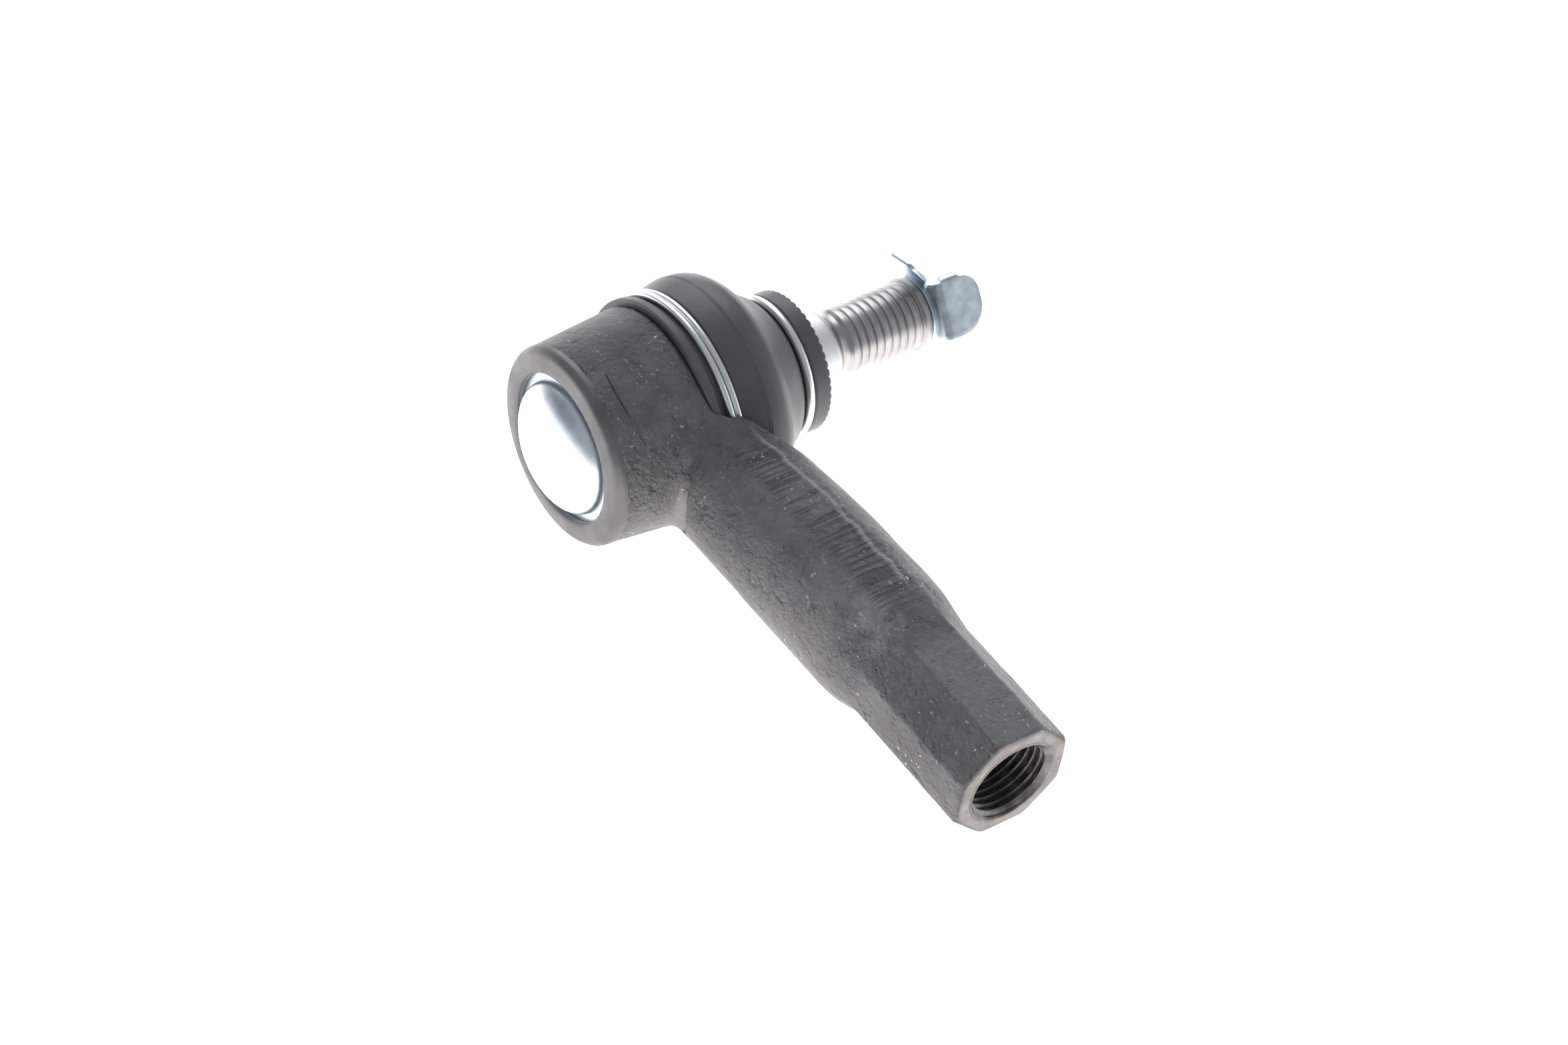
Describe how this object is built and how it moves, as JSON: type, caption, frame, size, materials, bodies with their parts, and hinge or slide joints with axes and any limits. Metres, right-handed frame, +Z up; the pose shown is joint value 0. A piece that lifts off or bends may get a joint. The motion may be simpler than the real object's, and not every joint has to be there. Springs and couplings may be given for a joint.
{
  "type": "tie rod end",
  "caption": "Outer tie rod end: a forged body with a threaded socket for the tie rod, and a sealed ball joint whose grooved stud swings and spins.",
  "frame": {"origin": "centre of the ball", "axes": "+X along the rod to its threaded mouth, +Y along the stud to its tip, +Z up"},
  "size_m": [0.1224, 0.0905, 0.0438],
  "materials": {
    "forging": "dark phosphated forging, matt and finely grained",
    "zinc_sheet": "bright bluish zinc plate",
    "zinc_wire": "bright zinc plated spring wire",
    "seat_plastic": "natural acetal, smooth",
    "spring_steel": "blued spring steel",
    "boot_rubber": "satin moulded rubber",
    "stud_steel": "turned and rolled steel, bare"
  },
  "bodies": {
    "housing": {"forged_body": "forging", "cover_plate": "zinc_sheet", "rear_ball_seat": "seat_plastic", "front_ball_seat": "seat_plastic", "preload_spring": "spring_steel", "housing_wire_ring": "zinc_wire"},
    "boot": {"dust_boot": "boot_rubber"},
    "boot_end": {"boot_insert_ring": "spring_steel", "stud_wire_ring": "zinc_wire"},
    "stud": {"ball_stud": "stud_steel", "stud_clip": "zinc_sheet"}
  },
  "joints": [
    {"name": "stud_swing", "type": "hinge", "parent": "housing", "child": "boot", "pos_m": [0, 0, 0], "axis": [0, 0, 1], "range_deg": [-18, 18], "deforming": ["dust_boot"]},
    {"name": "stud_tilt", "type": "hinge", "parent": "boot", "child": "boot_end", "pos_m": [0, 0, 0], "axis": [1, 0, 0], "range_deg": [-18, 18], "deforming": ["dust_boot"]},
    {"name": "stud_spin", "type": "hinge", "parent": "boot_end", "child": "stud", "pos_m": [0, 0, 0], "axis": [0, 1, 0], "continuous": true}
  ]
}
